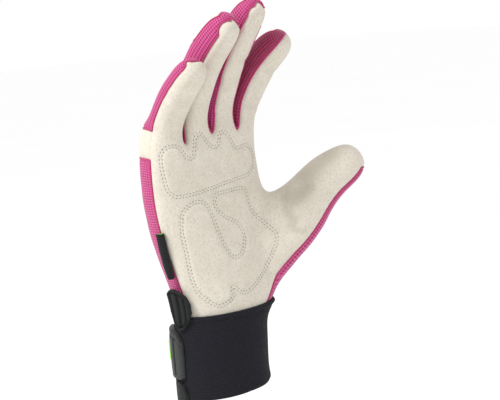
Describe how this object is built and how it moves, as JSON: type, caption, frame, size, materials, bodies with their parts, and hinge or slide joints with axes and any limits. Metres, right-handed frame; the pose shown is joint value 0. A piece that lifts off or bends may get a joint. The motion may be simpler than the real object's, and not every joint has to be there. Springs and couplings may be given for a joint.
{
  "type": "gardening glove",
  "caption": "Right-hand gardening glove in its worn form: suede palm and fingers, mesh back and finger sides, knitted cuff closed by a rubber clasp and pull tab.",
  "frame": {"origin": "centre of the cuff's mouth, where the glove is held up and a hand goes in", "axes": "+Z along the wrist axis from the mouth towards the fingers, palm towards -Y, thumb towards +X"},
  "size_m": [0.1356, 0.0804, 0.2467],
  "materials": {
    "suede": "matte",
    "mesh": "matte",
    "knit": "matte",
    "webbing": "matte",
    "rubber": "satin",
    "accent": "satin"
  },
  "bodies": {
    "root": {"clasp_badge": "accent", "clasp_plate": "rubber", "closure_strap": "webbing", "cuff": "knit", "hand_back_panel": "mesh", "index_back": "mesh", "index_side_strip": "mesh", "index_tip_cap": "suede", "knuckle_strap": "suede", "little_back": "mesh", "little_side_strip": "mesh", "middle_back": "mesh", "middle_side_strip": "mesh", "middle_tip_cap": "suede", "palm_panel": "suede", "pull_tab": "webbing", "ring_back": "mesh", "ring_side_strip": "mesh", "ring_tip_cap": "suede", "side_label": "webbing", "strap_tail": "webbing"}
  },
  "joints": []
}
